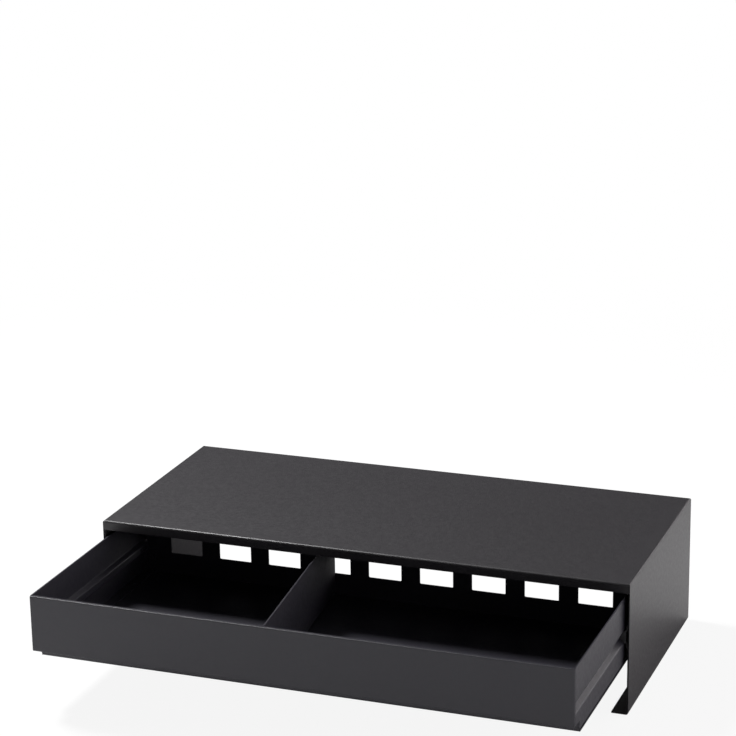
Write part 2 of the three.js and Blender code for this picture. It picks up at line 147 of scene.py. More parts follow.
class GuideSettings(bpy.types.PropertyGroup):
    """Sizes of the guide rails and their plastic glides."""

    rail_sheet: length("Rail sheet", "Thickness of the guide rails' sheet", 1 * MM)
    rail_bend: length("Rail bend", "Radius inside the guide rails' folds", 0.2 * MM)
    rail_flange: length("Rail flange", "Height of each of the rail's flanges on the wall", 5 * MM)
    glide_space: length("Glide space", "Room between groove and rail", 1.2 * MM)
    glide_wall: length("Glide wall", "Thickness of the plastic glides", 0.8 * MM)
    glide_seat: length("Glide seat", "Gap between a glide and what carries it", 0.1 * MM)
    glide_cap: length("Glide cap", "Thickness of the front glides' end caps", 1.2 * MM)
    peg_radius: length("Peg radius", "Radius of the rear glides' pegs", 1.2 * MM)
    edge_round: length("Edge rounding", "Rounding of the glides' and rails' edges", 0.15 * MM)


class DividerSettings(bpy.types.PropertyGroup):
    """Sizes of the loose divider."""

    angle: number("Angle", "How far the divider is turned in the drawer", math.radians(5.9),
                  subtype="ANGLE")
    sheet: length("Sheet", "Thickness of the divider's sheet", 1.2 * MM)
    foot: length("Foot", "Width of the divider's foot", 20 * MM)
    end_gap: length("End gap", "Gap between the divider's ends and the drawer", 1 * MM)
    magnet_width: length("Magnet width", "Width of the magnetic strip under the foot", 14 * MM)


class FinishSettings(bpy.types.PropertyGroup):
    """Colours and grain of the surfaces."""

    casing_coat: colour(
        "Casing coat", "Colour of the casing's powder coat", (0.0202, 0.0190, 0.0215))
    drawer_coat: colour(
        "Drawer coat", "Colour of the drawer's powder coat", (0.0168, 0.0160, 0.0230))
    zinc: colour("Zinc", "Colour of the zinc-plated steel", (0.60, 0.61, 0.63))
    plastic: colour("Plastic", "Colour of the plastic glides", (0.022, 0.022, 0.024))
    rubber: colour("Rubber", "Colour of the foot pads", (0.018, 0.018, 0.019))
    magnet: colour("Magnet", "Colour of the magnetic strip", (0.030, 0.026, 0.023))
    grain: length("Grain", "Size of the powder coat's grain", 0.5 * MM)
    grain_depth: length("Grain depth", "Depth of the powder coat's grain", 0.02 * MM)


class StageSettings(bpy.types.PropertyGroup):
    """Camera, floor and light. Distances on the floor are from its middle."""

    camera_place: bpy.props.FloatVectorProperty(
        name="Camera place", description="Where the camera stands",
        default=(0.7258, -1.9157, 0.9072), size=3, subtype="TRANSLATION")
    camera_turn: number("Camera turn", "How far it is turned left of +Y", 0.3619, subtype="ANGLE")
    camera_fall: number("Camera fall", "How far it looks down", 0.2960, subtype="ANGLE")
    camera_roll: number("Camera roll", "How far it is rolled clockwise", 0.0164, subtype="ANGLE")
    lens: number("Lens", "Focal length for a sensor 36 mm wide", 118.79)
    floor_size: length("Floor size", "Width of the floor", 14.0)
    floor_colour: colour("Floor colour", "Colour of the floor", (0.86, 0.86, 0.86))
    floor_lift: share("Floor lift", "How white the picture shows the floor under the stand", 0.9)
    near: length("Near floor", "Where the floor's shadow begins to fade", 0.45)
    far: length("Far floor", "Where the floor is white", 1.4)
    # under, shade and shade_behind set the painted shade in the floor's colour, seen only in
    # reflections
    under: length("Under the stand", "Where the shade in reflections begins to fade", 0.3)
    shade: share("Shade", "Brightness under the stand in reflections", 0.75)
    shade_behind: share("Shade behind", "Brightness behind the stand in reflections", 0.05)
    shade_near: length("Near reflection", "Where reflections begin to whiten the floor", 0.5)
    shade_far: length("Far reflection", "Where reflections show a white floor", 1.1)
    bright: number("Bright side", "Strength of the light from low at the back right", 2.0)
    dim: number("Dim side", "Strength of the light from above and from the front", 0.065)
    key_power: number("Key power", "Power of the softbox at the left", 52.0, unit="POWER")
    overhead_power: number("Overhead power", "Power of the softbox overhead", 6.0, unit="POWER")


# Modelling by hand: picking pieces, choosing what to edit, applying modifiers

def pick(*pieces):
    bpy.ops.object.select_all(action="DESELECT")
    for piece in pieces:
        piece.select_set(True)
    bpy.context.view_layer.objects.active = pieces[0]


def made(name):
    """The object that an operator has just made, under a name of its own."""
    piece = bpy.context.object
    piece.name = name
    return piece


def open_edit(piece):
    pick(piece)
    bpy.ops.object.mode_set(mode="EDIT")
    bpy.ops.mesh.select_all(action="DESELECT")


def close_edit():
    bpy.ops.object.mode_set(mode="OBJECT")


def select_where(piece, kind, test):
    """In edit mode, selects only the edges or faces whose corner points pass the test."""
    bpy.ops.mesh.select_mode(type={"edges": "EDGE", "faces": "FACE"}[kind])
    bpy.ops.mesh.select_all(action="DESELECT")
    mesh = bmesh.from_edit_mesh(piece.data)
    for item in getattr(mesh, kind):
        if test([corner.co for corner in item.verts]):
            item.select_set(True)
    mesh.select_flush_mode()
    bmesh.update_edit_mesh(piece.data)


def level(points, axis, value):
    """True if all the points lie at one value of an axis."""
    return all(abs(point[axis] - value) < TOUCH for point in points)


def at(axis, value):
    """The test that all the points lie at one value of an axis."""
    return lambda points: level(points, axis, value)


def inside(points, axis, low, high):
    """True if all the points lie between two values of an axis."""
    return all(low - TOUCH < point[axis] < high + TOUCH for point in points)


def across_sheet(points):
    """True for an edge that runs along Y, as the short edges of an upright sheet do."""
    return abs(points[0].y - points[1].y) > TOUCH


def bevel(width, segments=1):
    """In edit mode, rounds what is selected, or chamfers it with one segment."""
    bpy.ops.mesh.bevel(offset_type="OFFSET", offset=width, segments=segments, profile=0.5,
                       affect="EDGES", clamp_overlap=False)


def bevel_where(piece, kind, test, width, segments=1):
    """Rounds or chamfers the edges that pass the test, or the rims of the faces that do."""
    open_edit(piece)
    select_where(piece, kind, test)
    bevel(width, segments)
    close_edit()


def extrude(*move):
    """In edit mode, draws what is selected out by a move (x, y, z)."""
    bpy.ops.mesh.extrude_region_move(TRANSFORM_OT_translate={"value": move})


def apply_modifier(piece, kind, **settings):
    pick(piece)
    bpy.ops.object.modifier_add(type=kind)
    modifier = piece.modifiers[-1]
    for name, value in settings.items():
        setattr(modifier, name, value)
    bpy.ops.object.modifier_apply(modifier=modifier.name)


def apply_place(piece):
    pick(piece)
    bpy.ops.object.transform_apply(location=True, rotation=True, scale=True)
    return piece


def settle(piece, place, turn):
    """Turns the piece, moves it to its place and leaves its origin at the frame's."""
    piece.location = place
    piece.rotation_euler = turn
    apply_place(piece)


def join(*pieces):
    pick(*pieces)
    if len(pieces) > 1:
        bpy.ops.object.join()
    return pieces[0]


def combine(piece, others, operation):
    """Cuts others out of the piece, or welds them to it, and removes them."""
    tool = join(*others)
    apply_modifier(piece, "BOOLEAN", operation=operation, object=tool, solver="EXACT")
    bpy.data.objects.remove(tool)


def block(name, low, high):
    """A cuboid between two corners, to be shaped or to cut with."""
    low, high = Vector(low), Vector(high)
    bpy.ops.mesh.primitive_cube_add(size=1, location=(low + high) / 2)
    piece = made(name)
    piece.scale = high - low
    return apply_place(piece)


def side_block(name, sign, low, high):
    """A cuboid given for the right-hand side, mirrored to the left where sign is -1."""
    xs = sorted((sign * low[X], sign * high[X]))
    return block(name, (xs[0], *low[1:]), (xs[1], *high[1:]))


def rod(name, axis, radius, low, high, centre, vertices=40):
    """A round bar along an axis, from low to high, through a centre point."""
    place = Vector(centre)
    place[axis] = (low + high) / 2
    turn = ((0, math.pi / 2, 0), (math.pi / 2, 0, 0), (0, 0, 0))[axis]
    bpy.ops.mesh.primitive_cylinder_add(
        vertices=vertices, radius=radius, depth=high - low, location=place, rotation=turn)
    return apply_place(made(name))


def holes_at(nodes, axis, radius, low=None, high=None):
    """Rods to cut holes with, through the nodes' middles and out past low and high or the nodes."""
    holes = []
    for node in nodes:
        first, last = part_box(node)
        start = first[axis] if low is None else low
        end = last[axis] if high is None else high
        holes.append(rod("hole", axis, radius, start - OVERRUN, end + OVERRUN,
                         (first + last) / 2, vertices=24))
    return holes


def folded(name, corners, axis, low, high, sheet, inside_bend, steps=FOLD_STEPS):
    """A sheet folded along the corners (u, v) of its outer face and run along an axis.

    The metal lies to the left of the corners' path. It starts as one flat, whose edge is drawn out
    fold by fold, and then each fold is rounded and the sheet gets its thickness.
    """
    across_axis, up_axis = ((Y, Z), (X, Z), (X, Y))[axis]
    first, last = (low, high) if axis == Y else (high, low)

    def place(corner, run):
        point = Vector((0, 0, 0))
        point[across_axis], point[up_axis] = corner
        point[axis] = run
        return point

    start = place(corners[0], first)
    run = place(corners[0], last) - start
    flat = place(corners[1], first) - start
    turn = Matrix((run.normalized(), flat.normalized(), run.cross(flat).normalized())).transposed()
    bpy.ops.mesh.primitive_plane_add(
        size=1, location=start + (run + flat) / 2, rotation=turn.to_euler())
    piece = made(name)
    piece.scale = (run.length, flat.length, 1)
    apply_place(piece)

    def select_fold(corner):
        select_where(piece, "edges", lambda points: (
            level(points, across_axis, corner[0]) and level(points, up_axis, corner[1])))

    open_edit(piece)
    for here, there in zip(corners[1:-1], corners[2:]):
        select_fold(here)
        extrude(*(place(there, 0) - place(here, 0)))
    for before, here, after in zip(corners, corners[1:], corners[2:]):
        heading = math.atan2(here[1] - before[1], here[0] - before[0])
        new_heading = math.atan2(after[1] - here[1], after[0] - here[0])
        fold = math.remainder(new_heading - heading, math.tau)
        radius = inside_bend + sheet if fold > 0 else inside_bend
        select_fold(here)
        bevel(radius * math.tan(abs(fold) / 2), steps)
    close_edit()
    apply_modifier(piece, "SOLIDIFY", thickness=sheet, offset=-1, use_even_offset=True)
    return piece


def for_side(sign, corners):
    """The right-hand side's section, mirrored where sign is -1 with its metal still on the left."""
    placed = [(sign * x, z) for x, z in corners]
    return placed if sign > 0 else placed[::-1]


def close_slivers(piece):
    """Merges corners that all but meet and takes out faces without area."""
    open_edit(piece)
    bpy.ops.mesh.select_all(action="SELECT")
    bpy.ops.mesh.remove_doubles(threshold=SLIVER)
    bpy.ops.mesh.dissolve_degenerate(threshold=SLIVER)
    close_edit()


def smooth(piece, degrees=40):
    """Shades the piece smooth, but for edges sharper than the angle."""
    pick(piece)
    bpy.ops.object.shade_smooth_by_angle(angle=math.radians(degrees))


def round_edges(piece, width, sharper_than=50):
    """Rounds the sharp edges a little and shades the folds smooth and the flats flat."""
    apply_modifier(
        piece, "BEVEL", width=width, segments=EDGE_STEPS, limit_method="ANGLE",
        angle_limit=math.radians(sharper_than), use_clamp_overlap=True)
    close_slivers(piece)
    smooth(piece)
    apply_modifier(piece, "WEIGHTED_NORMAL", keep_sharp=True)


def dress(piece, body, slot, material, *nodes):
    """Gives the piece its finish, and lets it ride on a body in the place of its nodes."""
    piece.data.materials.clear()
    piece.data.materials.append(material)
    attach(piece, body)
    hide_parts(*nodes)


# Node groups and finishes

WAVE_SHARE = 0.14  # scale of the soft waves, as a share of the grain's
WAVE_RELIEF = 1.5  # height of the soft waves over the grain's
CLOUD_SCALE = 7.0
LINE_STRETCH = (1, 0.04, 1)
LINE_SCALE = 1600.0
PATCH_SCALE = 90.0


def feed(node, inputs):
    """Sets a node's inputs to plain values, or links them from the outputs given instead."""
    for name, value in inputs.items():
        if isinstance(value, bpy.types.NodeSocket):
            node.id_data.links.new(value, node.inputs[name])
        else:
            node.inputs[name].default_value = value


def add_node(tree, kind, place, inputs=None, **settings):
    node = tree.nodes.new(kind)
    node.location = place
    for name, value in settings.items():
        setattr(node, name, value)
    feed(node, inputs or {})
    return node


def add_math(tree, operation, place, *values):
    """The result of a math node; the values are outputs or numbers."""
    return add_node(tree, "ShaderNodeMath", place, dict(enumerate(values)),
                    operation=operation).outputs[0]


def add_noise(tree, place, position, scale, detail, roughness):
    return add_node(tree, "ShaderNodeTexNoise", place, {
        "Vector": position, "Scale": scale, "Detail": detail, "Roughness": roughness,
    }).outputs["Fac"]


def add_tint(tree, place, base, tone):
    """The base colour, darkened or lightened by a tone."""
    return add_node(tree, "ShaderNodeVectorMath", place, {0: base, "Scale": tone},
                    operation="SCALE").outputs["Vector"]


def add_swing(tree, row, value, amount, middle):
    """The middle plus or minus half the amount, as the value goes from 0 to 1."""
    centred = add_math(tree, "SUBTRACT", (-300, row), value, 0.5)
    return add_math(tree, "MULTIPLY_ADD", (-120, row), centred, amount, middle)


def add_slope(tree, place, value, start, end, low, high):
    """Goes smoothly from low to high as the value goes from start to end."""
    return add_node(tree, "ShaderNodeMapRange", place, {
        "Value": value, "From Min": start, "From Max": end, "To Min": low, "To Max": high,
    }, interpolation_type="SMOOTHSTEP").outputs["Result"]


def surface_group(name, build, defaults):
    """A node group that turns a base colour and shares into colour, roughness and height.

    It is made once. Its inside is what build gives back for the group's inputs and the position.
    """
    found = bpy.data.node_groups.get(name)
    if found:
        return found
    group = bpy.data.node_groups.new(name, "ShaderNodeTree")

    def new_socket(socket_name, way):
        kind = "NodeSocketColor" if socket_name == "Color" else "NodeSocketFloat"
        return group.interface.new_socket(socket_name, in_out=way, socket_type=kind)

    for socket_name, default in defaults.items():
        new_socket(socket_name, "INPUT").default_value = default
    for socket_name in ("Color", "Roughness", "Height"):
        new_socket(socket_name, "OUTPUT")
    asked = add_node(group, "NodeGroupInput", (-1100, 0)).outputs
    position = add_node(group, "ShaderNodeTexCoord", (-1100, -300)).outputs["Object"]
    add_node(group, "NodeGroupOutput", (700, 0), build(group, asked, position))
    return group


def coat_grain(group, asked, position):
    """Fine grain over softer waves, with a colour and a roughness that drift a little."""
    fine_scale = add_math(group, "DIVIDE", (-900, 200), 1.0, asked["Grain Size"])
    wave_scale = add_math(group, "MULTIPLY", (-720, 60), fine_scale, WAVE_SHARE)
    fine = add_noise(group, (-520, 260), position, fine_scale, 2.0, 0.55)
    waves = add_noise(group, (-520, 20), position, wave_scale, 1.0, 0.5)
    clouds = add_noise(group, (-520, -220), position, CLOUD_SCALE, 2.0, 0.5)
    fleck = add_swing(group, 320, fine, asked["Fleck"], 1.0)
    drift = add_swing(group, 120, clouds, asked["Drift"], 1.0)
    tone = add_math(group, "MULTIPLY", (80, 220), fleck, drift)
    broad = add_math(group, "MULTIPLY", (-120, -280), waves, WAVE_RELIEF)
    return {
        "Color": add_tint(group, (300, 220), asked["Color"], tone),
        "Roughness": add_swing(group, -80, waves, asked["Roughness Spread"], asked["Roughness"]),
        "Height": add_math(group, "ADD", (80, -280), fine, broad),
    }


def rolled_lines(group, asked, position):
    """Fine lines drawn out along the piece, for rolled and plated steel."""
    stretched = add_node(group, "ShaderNodeMapping", (-900, -200), {
        "Vector": position, "Scale": LINE_STRETCH}).outputs["Vector"]
    lines = add_noise(group, (-700, -120), stretched, LINE_SCALE, 3.0, 0.6)
    patches = add_noise(group, (-700, -380), position, PATCH_SCALE, 2.0, 0.5)
    both = add_math(group, "ADD", (-520, -120), lines, patches)
    middle = add_math(group, "MULTIPLY", (-520, -320), both, 0.5)
    tone = add_swing(group, 60, middle, asked["Spread"], 1.0)
    return {
        "Color": add_tint(group, (320, 100), asked["Color"], tone),
        "Roughness": add_swing(group, -200, middle, asked["Spread"], asked["Roughness"]),
        "Height": lines,
    }


def new_finish(name, group, values, depth, metallic=0.0, specular=0.5):
    """A material whose colour, roughness and relief come from a group set to the given values."""
    found = bpy.data.materials.get(name)
    if found:
        return found
    material = bpy.data.materials.new(name)
    material.use_nodes = True
    tree = material.node_tree
    surface = add_node(tree, "ShaderNodeGroup", (-600, 200), values, node_tree=group)
    relief = add_node(tree, "ShaderNodeBump", (-300, -100), {
        "Height": surface.outputs["Height"], "Distance": depth})
    feed(tree.nodes["Principled BSDF"], {
        "Base Color": surface.outputs["Color"], "Roughness": surface.outputs["Roughness"],
        "Normal": relief.outputs["Normal"], "Metallic": metallic, "Specular IOR Level": specular,
    })
    return material


def grained(name, base, grain, depth, fleck, drift, roughness, spread, specular=0.5):
    """A finish with grain of a size and depth, whose colour flecks and drifts by shares of it."""
    group = surface_group("Coat Grain", coat_grain, {
        "Color": (0.1, 0.1, 0.1, 1), "Grain Size": 0.0005, "Fleck": 0.15, "Drift": 0.08,
        "Roughness": 0.5, "Roughness Spread": 0.1,
    })
    return new_finish(name, group, {
        "Color": (*base, 1), "Grain Size": grain, "Fleck": fleck, "Drift": drift,
        "Roughness": roughness, "Roughness Spread": spread,
    }, depth, specular=specular)


def powder_coat(name, base):
    settings = bpy.context.scene.stand_finish
    return grained(name, base, settings.grain, settings.grain_depth,
                   fleck=0.30, drift=0.16, roughness=0.46, spread=0.16)


def casing_finish():
    return powder_coat("Casing powder coat", bpy.context.scene.stand_finish.casing_coat)


def drawer_finish():
    return powder_coat("Drawer powder coat", bpy.context.scene.stand_finish.drawer_coat)


def plastic_finish():
    return grained("Moulded glide plastic", bpy.context.scene.stand_finish.plastic,
                   0.25 * MM, 0.006 * MM, fleck=0.25, drift=0.1, roughness=0.38, spread=0.15)


def rubber_finish():
    return grained("Pad rubber", bpy.context.scene.stand_finish.rubber, 0.3 * MM, 0.02 * MM,
                   fleck=0.4, drift=0.2, roughness=0.82, spread=0.2, specular=0.3)


def magnet_finish():
    return grained("Magnetic strip", bpy.context.scene.stand_finish.magnet, 0.2 * MM, 0.01 * MM,
                   fleck=0.5, drift=0.2, roughness=0.7, spread=0.2, specular=0.3)


def zinc_finish():
    group = surface_group("Rolled Lines", rolled_lines, {
        "Color": (0.6, 0.6, 0.6, 1), "Spread": 0.15, "Roughness": 0.35})
    base = bpy.context.scene.stand_finish.zinc
    values = {"Color": (*base, 1), "Spread": 0.5, "Roughness": 0.36}
    return new_finish("Zinc-plated steel", group, values, 0.004 * MM, metallic=1.0)


# The guide groove's section, which the sides, rails and glides share

def groove_line(distance, reach):
    """Points (x, z from the groove's middle) parallel to the groove, with both ends at reach."""
    drawer = bpy.context.scene.stand_drawer
    floor = DRAWER_HALF - drawer.groove_depth + distance
    half_angle = math.atan2(drawer.groove_depth, drawer.groove_rise) / 2
    floor_half = drawer.groove_height / 2 - drawer.groove_rise - distance * math.tan(half_angle)
    end_half = floor_half + (reach - floor) * drawer.groove_rise / drawer.groove_depth
    return [(reach, -end_half), (floor, -floor_half), (floor, floor_half), (reach, end_half)]


def groove_heights():
    """Heights of the groove at its mouth: its lower edge, its middle and its upper edge."""
    drawer = bpy.context.scene.stand_drawer
    low = DRAWER_BOTTOM + drawer.groove_bottom
    return low, low + drawer.groove_height / 2, low + drawer.groove_height


def folded_in_groove(name, sign, line, low, high, sheet, inside_bend, steps):
    """A sheet folded along a line round the groove's middle and run from low to high along Y."""
    _, middle, _ = groove_heights()
    corners = for_side(sign, [(x, z + middle) for x, z in line])
    return folded(name, corners, Y, low, high, sheet, inside_bend, steps=steps)


class StandOperator:
    """What every operator of this panel shares."""

    bl_options = {"REGISTER", "UNDO"}


# Casing

class STAND_OT_casing(StandOperator, bpy.types.Operator):
    """Models the folded casing: top, side walls, bottom flanges and the lips at front and rear"""

    bl_idname = "stand.casing"
    bl_label = "Casing"

    def execute(self, context):
        sizes = context.scene.stand_casing
        low, high = CASING_LOW, CASING_HIGH
        casing = block("casing", low, high)
        lip_bottom = high.z - sizes.lip_height
        flange_inner = CASING_HALF - sizes.flange_width

        def end_face(points):
            return level(points, Y, low.y) or level(points, Y, high.y)

        def fold(points):
            foot = level(points, Z, low.z) and (
                level(points, X, -CASING_HALF) or level(points, X, CASING_HALF))
            return level(points, Z, high.z) or foot

        open_edit(casing)
        select_where(casing, "faces", end_face)
        bpy.ops.mesh.bisect(plane_co=(0, 0, lip_bottom), plane_no=(0, 0, 1))
        for x in (-flange_inner, flange_inner):
            select_where(casing, "faces", at(Z, low.z))
            bpy.ops.mesh.bisect(plane_co=(x, 0, 0), plane_no=(1, 0, 0))
        select_where(casing, "faces", lambda points: (
            end_face(points) and inside(points, Z, low.z, lip_bottom)
            or level(points, Z, low.z) and inside(points, X, -flange_inner, flange_inner)))
        bpy.ops.mesh.delete(type="FACE")
        close_edit()
        bevel_where(casing, "edges", fold, sizes.inside_bend + sizes.sheet, FOLD_STEPS)
        apply_modifier(casing, "SOLIDIFY", thickness=sizes.sheet, offset=-1, use_even_offset=True,
                       use_quality_normals=True)
        round_edges(casing, sizes.edge_round, sharper_than=60)
        dress(casing, "casing", "casing_coat", casing_finish(), "casing_shell")
        return {"FINISHED"}


class STAND_OT_foot_pads(StandOperator, bpy.types.Operator):
    """Models the rubber pads under the casing's flanges"""

    bl_idname = "stand.foot_pads"
    bl_label = "Foot pads"

    def execute(self, context):
        width = context.scene.stand_casing.pad_round
        for end in ("front", "rear"):
            for side, _ in SIDES:
                node = f"foot_pad_{end}_{side}"
                low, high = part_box(node)
                pad = rod(f"pad_{end}_{side}", Z, (high.x - low.x) / 2, low.z, high.z,
                          (low + high) / 2, vertices=64)
                bevel_where(pad, "faces", at(Z, low.z), width, segments=4)
                smooth(pad)
                dress(pad, "casing", "rubber", rubber_finish(), node)
        return {"FINISHED"}


class STAND_OT_guide_rails(StandOperator, bpy.types.Operator):
    """Models the two rails on the casing's walls, whose tongues run in the drawer's grooves"""

    bl_idname = "stand.guide_rails"
    bl_label = "Guide rails"

    def execute(self, context):
        sizes = context.scene.stand_guide
        for side, sign in SIDES:
            node = f"guide_rail_{side}"
            low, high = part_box(node)
            face = max(abs(low.x), abs(high.x)) - sizes.rail_sheet
            tongue = groove_line(sizes.glide_space, face)[::-1]
            flange_end = tongue[0][1] + sizes.rail_flange
            line = [(face, flange_end), *tongue, (face, -flange_end)]
            rail = folded_in_groove(f"rail_{side}", sign, line, low.y, high.y,
                                    sizes.rail_sheet, sizes.rail_bend, steps=5)
            round_edges(rail, sizes.edge_round)
            dress(rail, "casing", "casing_coat", casing_finish(), node)
        return {"FINISHED"}


class STAND_OT_glides(StandOperator, bpy.types.Operator):
    """Models the capped glides on the rails' front ends and the pegged ones at the grooves' rear"""

    bl_idname = "stand.glides"
    bl_label = "Glides"

    def execute(self, context):
        sizes = context.scene.stand_guide
        for side, sign in SIDES:
            self.front_glide(sizes, side, sign)
            self.rear_glide(context.scene.stand_drawer, sizes, side, sign)
        return {"FINISHED"}

    def front_glide(self, sizes, side, sign):
        """A sleeve over the rail's tongue, welded to the cap that closes its front."""
        node = f"front_glide_{side}"
        low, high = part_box(node)
        reach = max(abs(low.x), abs(high.x))
        distance = sizes.glide_space - sizes.glide_seat
        glide = folded_in_groove(
            f"sleeve_{side}", sign, groove_line(distance, reach), low.y + sizes.glide_seat, high.y,
            sizes.glide_wall, sizes.glide_seat, steps=4)
        cap_reach = reach - sizes.glide_seat
        edge = groove_line(distance - sizes.glide_wall / 2, cap_reach)
        inner, narrow, wide = edge[1][0], edge[2][1], edge[3][1]
        _, middle, _ = groove_heights()
        cap = side_block("cap", sign, (inner, low.y, middle - wide),
                         (cap_reach, low.y + sizes.glide_cap, middle + wide))
        open_edit(cap)
        select_where(cap, "faces", at(X, sign * inner))
        bpy.ops.transform.resize(value=(1, 1, narrow / wide), center_override=(0, 0, middle))
        close_edit()
        combine(glide, [cap], "UNION")
        round_edges(glide, sizes.edge_round)
        dress(glide, "casing", "glide_plastic", plastic_finish(), node)

    def rear_glide(self, drawer, sizes, side, sign):
        """A liner in the drawer's groove, welded to the peg that holds it in the side wall."""
        node = f"rear_glide_{side}"
        low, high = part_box(node)
        line = groove_line(sizes.glide_seat, DRAWER_HALF - sizes.glide_seat)[::-1]
        glide = folded_in_groove(f"liner_{side}", sign, line, low.y, high.y,
                                 sizes.glide_wall, sizes.glide_seat, steps=4)
        inner = min(abs(low.x), abs(high.x))
        root = DRAWER_HALF - drawer.groove_depth + sizes.glide_seat + sizes.glide_wall / 2
        _, middle, _ = groove_heights()
        peg = rod("peg", X, sizes.peg_radius, *sorted((sign * inner, sign * root)),
                  (0, (low.y + high.y) / 2, middle))
        combine(glide, [peg], "UNION")
        round_edges(glide, sizes.edge_round)
        dress(glide, "drawer", "glide_plastic", plastic_finish(), node)


# Drawer

def fasteners(kind, side, places=("lower", "upper")):
    """The nodes of one kind of fastener on one side of the drawer."""
    return [f"{kind}_{place}_{side}" for place in places]


def back_rivets(side):
    return fasteners("back_rivet", side)


def floor_rivets(side):
    return fasteners("floor_rivet", side, (1, 2, 3))


def front_nuts(side):
    return fasteners("front_nut", side)


def holes_in_side(sizes, side, front, back):
    """Rods to cut the rivets' holes with, and the studs' holes from front to back."""
    return (holes_at(back_rivets(side), Y, sizes.hole_radius)
            + holes_at(floor_rivets(side), Z, sizes.hole_radius)
            + holes_at(front_nuts(side), Y, sizes.stud_radius + sizes.seat_gap, front, back))


class STAND_OT_drawer_panel(StandOperator, bpy.types.Operator):
    """Models the drawer's outer front panel with its pressed-in studs"""

    bl_idname = "stand.drawer_panel"
    bl_label = "Drawer front panel"

    chamfer_share = 0.2

    def execute(self, context):
        sizes = context.scene.stand_drawer
        back = DRAWER_FRONT + sizes.panel_sheet
        panel = block("front_panel", PANEL_LOW, (PANEL_HIGH.x, back, PANEL_HIGH.z))
        bevel_where(panel, "edges", across_sheet, sizes.panel_corner, segments=5)
        bevel_where(panel, "edges", at(Y, DRAWER_FRONT), sizes.panel_edge, segments=6)
        round_edges(panel, sizes.edge_round)
        studs = [self.stud(sizes, node, back) for side, _ in SIDES for node in front_nuts(side)]
        join(panel, *studs)
        dress(panel, "drawer", "drawer_coat", drawer_finish(), "drawer_front_panel")
        return {"FINISHED"}

    def stud(self, sizes, node, back):
        """One stud: a rod with a chamfered end, on the panel's back."""
        low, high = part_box(node)
        stud = rod("stud", Y, sizes.stud_radius, back - sizes.panel_sheet / 2, PANEL_HIGH.y,
                   (low + high) / 2, vertices=32)
        bevel_where(stud, "faces", at(Y, PANEL_HIGH.y), sizes.stud_radius * self.chamfer_share)
        smooth(stud, degrees=30)
        return stud


class STAND_OT_drawer_tray(StandOperator, bpy.types.Operator):
    """Models the drawer's tray: front wall, step, floor and the back wall with its slots"""

    bl_idname = "stand.drawer_tray"
    bl_label = "Drawer tray"

    def execute(self, context):
        sizes = context.scene.stand_drawer
        step = DRAWER_FRONT + sizes.step_depth
        tray = folded("tray", [
            (TRAY_LOW.y, TRAY_HIGH.z), (TRAY_LOW.y, PANEL_LOW.z), (step, PANEL_LOW.z),
            (step, TRAY_LOW.z), (TRAY_HIGH.y, TRAY_LOW.z), (TRAY_HIGH.y, TRAY_HIGH.z),
        ], X, -DRAWER_HALF, DRAWER_HALF, sizes.sheet, sizes.inside_bend)
        tools = self.slots(context.scene.stand_slots)
        for side, sign in SIDES:
            tools.append(self.end_cut(sizes, sign))
            tools += holes_in_side(sizes, side, TRAY_LOW.y, SIDE_LOW.y)
        combine(tray, tools, "DIFFERENCE")
        round_edges(tray, sizes.edge_round)
        dress(tray, "drawer", "drawer_coat", drawer_finish(), "drawer_tray")
        return {"FINISHED"}

    def slots(self, sizes):
        """Cutters with rounded corners for the row of slots."""
        bottom = DRAWER_BOTTOM + sizes.bottom
        cutters = []
        for i in range(sizes.count):
            middle = (i - (sizes.count - 1) / 2) * sizes.pitch
            cutter = block("slot", (middle - sizes.width / 2, SIDE_HIGH.y - OVERRUN, bottom),
                           (middle + sizes.width / 2, TRAY_HIGH.y + OVERRUN, bottom + sizes.height))
            bevel_where(cutter, "edges", across_sheet, sizes.corner, segments=8)
            cutters.append(cutter)
        return cutters

    def end_cut(self, sizes, sign):
        """A cutter that clears the side wall's thickness and lets the rail through the back."""
        inner = DRAWER_HALF - sizes.sheet - sizes.seat_gap
        front = TRAY_LOW.y + sizes.sheet
        back = TRAY_HIGH.y - sizes.sheet
        low, _, high = groove_heights()
        wall = side_block("wall_cut", sign, (inner, front, DRAWER_BOTTOM + sizes.sheet + CLEAR),
                          (DRAWER_HALF + OVERRUN, back, DRAWER_TOP + OVERRUN))
        rail = side_block("rail_cut", sign,
                          (DRAWER_HALF - sizes.groove_depth, back - sizes.sheet / 2, low),
                          (DRAWER_HALF + OVERRUN, TRAY_HIGH.y + OVERRUN, high))
        combine(wall, [rail], "UNION")
        return wall


